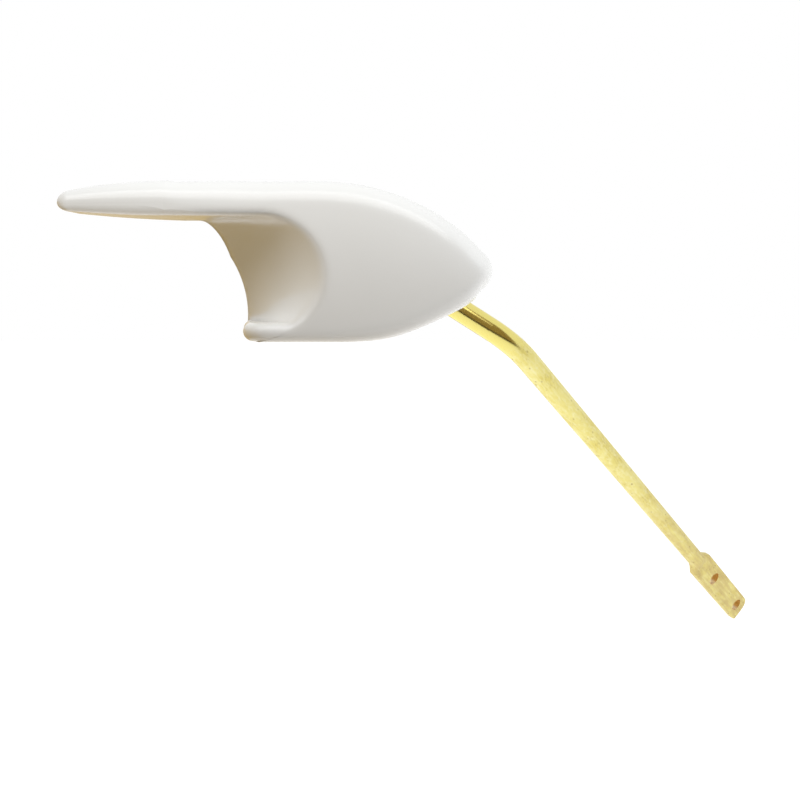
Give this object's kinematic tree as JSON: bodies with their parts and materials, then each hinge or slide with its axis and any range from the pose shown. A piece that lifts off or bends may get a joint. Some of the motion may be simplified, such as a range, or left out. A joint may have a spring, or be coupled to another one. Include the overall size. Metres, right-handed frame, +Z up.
{
  "type": "cistern lever",
  "caption": "Front-mounted cistern flush lever: a white paddle handle turns a bent brass arm through a threaded bushing, and the drilled blade at its end lifts the chain.",
  "frame": {"origin": "where the pivot axis meets the outer face of the cistern wall, which is the back face of the seal", "axes": "+Y along the pivot axis into the cistern, +Z up, and the paddle reaches towards -X"},
  "size_m": [0.2133, 0.1698, 0.1598],
  "materials": {
    "white_plastic": "polished, warm white",
    "steel": "plain",
    "brass": "polished near the handle, dull and mottled along the arm",
    "nylon": "moulded",
    "black_rubber": "matt",
    "nylon_washer": "moulded",
    "nylon_nut": "moulded"
  },
  "bodies": {
    "fixing": {"bushing": "nylon", "seal": "black_rubber", "inner_washer": "nylon_washer", "lock_nut": "nylon_nut"},
    "lever": {"handle": "white_plastic", "arm": "brass", "set_screw": "steel"}
  },
  "joints": [
    {"name": "lever_turn", "type": "hinge", "parent": "fixing", "child": "lever", "pos_m": [0, 0, 0], "axis": [0, -1, 0], "range_deg": [0, 30]}
  ]
}
